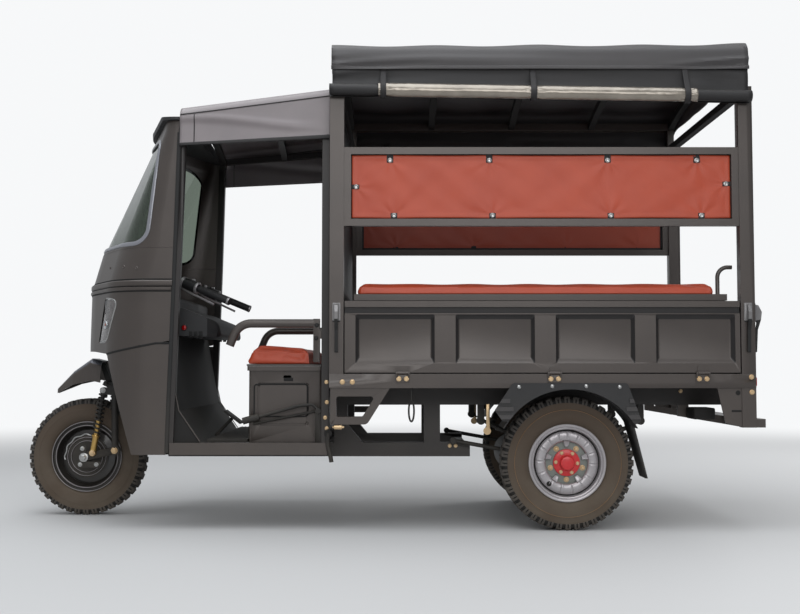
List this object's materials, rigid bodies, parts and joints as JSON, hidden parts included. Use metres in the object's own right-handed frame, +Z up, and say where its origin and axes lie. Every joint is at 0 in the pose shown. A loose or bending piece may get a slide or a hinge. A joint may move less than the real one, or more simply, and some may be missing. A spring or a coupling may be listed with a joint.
{
  "type": "electric auto rickshaw, passenger and cargo three-wheeler",
  "caption": "Electric three-wheeler with a glazed driver's cab, an open load bed with facing benches, drop sides and a tarpaulin canopy.",
  "frame": {"origin": "centre of the vehicle's box in plan, on the floor the wheels stand on", "axes": "-X to the vehicle's front, -Y to its left side, +Z up"},
  "size_m": [3.3, 1.4244, 2.088],
  "materials": {
    "body_paint": "satin grey-brown metallic",
    "frame_black": "satin black",
    "axle_black": "semi-gloss black",
    "tarpaulin": "matt coated cloth",
    "orange_vinyl": "satin vinyl",
    "black_plastic": "moulded matt",
    "black_rubber": "ribbed matt",
    "tyre": "matt",
    "silver_rim": "silver enamel",
    "black_rim": "gloss black",
    "tinted_glass": "tinted",
    "clear_lens": "clear",
    "red_lens": "gloss",
    "battery_case": "matt"
  },
  "bodies": {
    "chassis": {"chassis_frame": "frame_black", "rear_axle": "axle_black", "leaf_springs": "axle_black", "bed_deck": "body_paint", "canopy_frame": "body_paint", "canopy_tarp": "tarpaulin", "side_curtains": "tarpaulin", "backrest_frames": "body_paint", "backrest_panels": "orange_vinyl", "bench_frames": "frame_black", "bench_cushions": "orange_vinyl", "wheel_guards": "black_plastic", "steps": "body_paint", "tail_lamps": "red_lens", "lower_fairings": "body_paint", "headlight_panel": "body_paint", "headlights": "clear_lens", "nose_panel": "body_paint", "screen_surround": "body_paint", "windscreen": "tinted_glass", "visor": "black_plastic", "cab_frame": "body_paint", "cab_roof_tarp": "tarpaulin", "cab_floor": "body_paint", "floor_mat": "black_rubber", "dashboard": "black_plastic", "seat_box": "body_paint", "battery_pack": "battery_case", "armrests": "body_paint", "controls": "axle_black"},
    "seat_lid": {"seat_lid": "body_paint", "seat_cushion": "orange_vinyl"},
    "steering": {"fork": "axle_black", "front_shocks": "axle_black", "handlebar": "black_plastic", "front_mudguard": "body_paint"},
    "front_wheel": {"front_tyre": "tyre", "front_wheel": "black_rim"},
    "rear_left_wheel": {"rear_left_tyre": "tyre", "rear_left_wheel": "silver_rim"},
    "rear_right_wheel": {"rear_right_tyre": "tyre", "rear_right_wheel": "silver_rim"},
    "left_drop_side": {"left_drop_side": "body_paint"},
    "right_drop_side": {"right_drop_side": "body_paint"},
    "tailgate": {"tailgate": "body_paint"}
  },
  "joints": [
    {"name": "steer", "type": "hinge", "parent": "chassis", "child": "steering", "pos_m": [-1.376, 0, 0.274], "axis": [0.4115, 0, 0.9114], "range_deg": [-35, 35]},
    {"name": "front_wheel_spin", "type": "hinge", "parent": "steering", "child": "front_wheel", "pos_m": [-1.376, 0, 0.274], "axis": [0, 1, 0], "continuous": true},
    {"name": "rear_left_wheel_spin", "type": "hinge", "parent": "chassis", "child": "rear_left_wheel", "pos_m": [0.826, -0.5, 0.286], "axis": [0, 1, 0], "continuous": true},
    {"name": "rear_right_wheel_spin", "type": "hinge", "parent": "chassis", "child": "rear_right_wheel", "pos_m": [0.826, 0.5, 0.286], "axis": [0, 1, 0], "continuous": true},
    {"name": "left_drop_side_hinge", "type": "hinge", "parent": "chassis", "child": "left_drop_side", "pos_m": [0.7, -0.659, 0.673], "axis": [1, 0, 0], "range_deg": [0, 170]},
    {"name": "right_drop_side_hinge", "type": "hinge", "parent": "chassis", "child": "right_drop_side", "pos_m": [0.7, 0.659, 0.673], "axis": [-1, 0, 0], "range_deg": [0, 170]},
    {"name": "tailgate_hinge", "type": "hinge", "parent": "chassis", "child": "tailgate", "pos_m": [1.619, 0, 0.673], "axis": [0, 1, 0], "range_deg": [0, 150]},
    {"name": "seat_lid_hinge", "type": "hinge", "parent": "chassis", "child": "seat_lid", "pos_m": [-0.225, 0, 0.7063], "axis": [0, 1, 0], "range_deg": [0, 70]}
  ]
}
